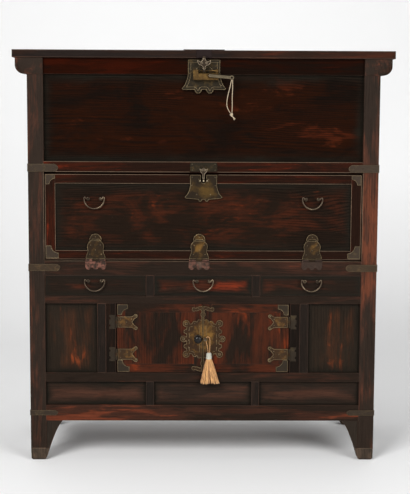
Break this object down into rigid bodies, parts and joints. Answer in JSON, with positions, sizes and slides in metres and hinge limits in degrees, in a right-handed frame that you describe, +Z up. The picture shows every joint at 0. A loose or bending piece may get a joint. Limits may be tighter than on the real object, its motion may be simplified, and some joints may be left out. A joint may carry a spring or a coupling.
{
  "type": "korean bandaji chest",
  "caption": "Tall dark wooden chest on bracketed legs: a lidded coin well with a sliding padlock, a drop-front, a row of drawers and a double-door cupboard, with brass fittings.",
  "frame": {"origin": "on the floor, under the middle of the chest", "axes": "+Z up, -Y to the front, +X to the right seen from the front"},
  "size_m": [1.1, 0.472, 1.2124],
  "materials": {
    "frame_wood": "old dark lacquer, worn at the edges",
    "panel_wood": "old dark red-brown lacquer, worn",
    "inside_wood": "dark oiled wood",
    "fittings_brass": "dark tarnished sheet brass",
    "padlock_brass": "worn yellow brass",
    "knob_iron": "dark and smooth",
    "string": "undyed twisted cotton",
    "tassel_silk": "faded peach silk threads"
  },
  "bodies": {
    "carcass": {"posts": "frame_wood", "foot_blocks": "frame_wood", "leg_brackets": "frame_wood", "bearers": "frame_wood", "front_rails": "frame_wood", "back_rails": "frame_wood", "side_rails": "frame_wood", "front_panels": "panel_wood", "side_panels": "panel_wood", "back_panels": "panel_wood", "front_uprights": "frame_wood", "floor_boards": "inside_wood", "drawer_guides": "inside_wood", "corner_straps": "fittings_brass", "rear_top_board": "frame_wood", "lid_hinge_fixed_leaves": "fittings_brass", "lid_lock_plate": "fittings_brass", "rail_hinge_leaves": "fittings_brass", "rail_hasp_plate": "fittings_brass", "jamb_hinge_leaves": "fittings_brass"},
    "lid": {"lid_board": "frame_wood", "lid_hinge_moving_leaves": "fittings_brass", "lid_strap": "fittings_brass"},
    "lid_hasp": {"lid_hasp": "fittings_brass"},
    "padlock_shackle": {"padlock_shackle": "padlock_brass"},
    "padlock_case": {"padlock_case": "padlock_brass"},
    "padlock_key": {"padlock_key": "padlock_brass", "key_string": "string", "string_knot": "string"},
    "drop_front": {"drop_front_frame": "frame_wood", "drop_front_panel": "panel_wood", "drop_front_corners": "fittings_brass", "drop_front_hinge_leaves": "fittings_brass", "drop_lock_plate": "fittings_brass", "drop_bail_posts": "fittings_brass"},
    "drop_left_bail": {"drop_left_bail": "fittings_brass"},
    "drop_right_bail": {"drop_right_bail": "fittings_brass"},
    "rail_hasp": {"rail_hasp": "fittings_brass"},
    "left_drawer": {"left_drawer": "inside_wood", "left_drawer_bail_posts": "fittings_brass"},
    "left_drawer_bail": {"left_drawer_bail": "fittings_brass"},
    "middle_drawer": {"middle_drawer": "inside_wood", "middle_drawer_bail_posts": "fittings_brass"},
    "middle_drawer_bail": {"middle_drawer_bail": "fittings_brass"},
    "right_drawer": {"right_drawer": "inside_wood", "right_drawer_bail_posts": "fittings_brass"},
    "right_drawer_bail": {"right_drawer_bail": "fittings_brass"},
    "left_door": {"left_door": "frame_wood", "left_door_corners": "fittings_brass", "left_door_hinge_leaves": "fittings_brass", "left_door_lock_plate": "fittings_brass", "door_knob": "knob_iron"},
    "right_door": {"right_door": "frame_wood", "right_door_corners": "fittings_brass", "right_door_hinge_leaves": "fittings_brass", "right_door_lock_plate": "fittings_brass", "tassel_eye": "fittings_brass", "tassel_cord": "tassel_silk", "tassel": "tassel_silk"}
  },
  "joints": [
    {"name": "lid_hinge", "type": "hinge", "parent": "carcass", "child": "lid", "pos_m": [0, -0.0075, 1.2092], "axis": [-1, 0, 0], "range_deg": [0, 100]},
    {"name": "lid_hasp_hinge", "type": "hinge", "parent": "lid", "child": "lid_hasp", "pos_m": [0, -0.2227, 1.186], "axis": [-1, 0, 0], "range_deg": [0, 110]},
    {"name": "padlock_swing", "type": "hinge", "parent": "carcass", "child": "padlock_shackle", "pos_m": [0, -0.219, 1.148], "axis": [-1, 0, 0], "range_deg": [0, 60]},
    {"name": "padlock_slide", "type": "slide", "parent": "padlock_shackle", "child": "padlock_case", "axis": [1, 0, 0], "range_m": [0, 0.02]},
    {"name": "key_slide", "type": "slide", "parent": "padlock_case", "child": "padlock_key", "axis": [0.9962, 0, -0.0872], "range_m": [0, 0.03]},
    {"name": "drop_front_hinge", "type": "hinge", "parent": "carcass", "child": "drop_front", "pos_m": [0, -0.2157, 0.5995], "axis": [1, 0, 0], "range_deg": [0, 90]},
    {"name": "rail_hasp_hinge", "type": "hinge", "parent": "carcass", "child": "rail_hasp", "pos_m": [0, -0.2171, 0.872], "axis": [-1, 0, 0], "range_deg": [0, 120]},
    {"name": "drop_left_bail_hinge", "type": "hinge", "parent": "drop_front", "child": "drop_left_bail", "pos_m": [-0.317, -0.218, 0.778], "axis": [-1, 0, 0], "range_deg": [0, 100]},
    {"name": "drop_right_bail_hinge", "type": "hinge", "parent": "drop_front", "child": "drop_right_bail", "pos_m": [0.317, -0.218, 0.778], "axis": [-1, 0, 0], "range_deg": [0, 100]},
    {"name": "left_drawer_slide", "type": "slide", "parent": "carcass", "child": "left_drawer", "axis": [0, -1, 0], "range_m": [0, 0.2]},
    {"name": "middle_drawer_slide", "type": "slide", "parent": "carcass", "child": "middle_drawer", "axis": [0, -1, 0], "range_m": [0, 0.2]},
    {"name": "right_drawer_slide", "type": "slide", "parent": "carcass", "child": "right_drawer", "axis": [0, -1, 0], "range_m": [0, 0.2]},
    {"name": "left_drawer_bail_hinge", "type": "hinge", "parent": "left_drawer", "child": "left_drawer_bail", "pos_m": [-0.317, -0.22, 0.5365], "axis": [-1, 0, 0], "range_deg": [0, 100]},
    {"name": "middle_drawer_bail_hinge", "type": "hinge", "parent": "middle_drawer", "child": "middle_drawer_bail", "pos_m": [0, -0.22, 0.5365], "axis": [-1, 0, 0], "range_deg": [0, 100]},
    {"name": "right_drawer_bail_hinge", "type": "hinge", "parent": "right_drawer", "child": "right_drawer_bail", "pos_m": [0.317, -0.22, 0.5365], "axis": [-1, 0, 0], "range_deg": [0, 100]},
    {"name": "left_door_hinge", "type": "hinge", "parent": "carcass", "child": "left_door", "pos_m": [-0.2545, -0.2137, 0.366], "axis": [0, 0, -1], "range_deg": [0, 115]},
    {"name": "right_door_hinge", "type": "hinge", "parent": "carcass", "child": "right_door", "pos_m": [0.2545, -0.2137, 0.366], "axis": [0, 0, 1], "range_deg": [0, 115]}
  ]
}
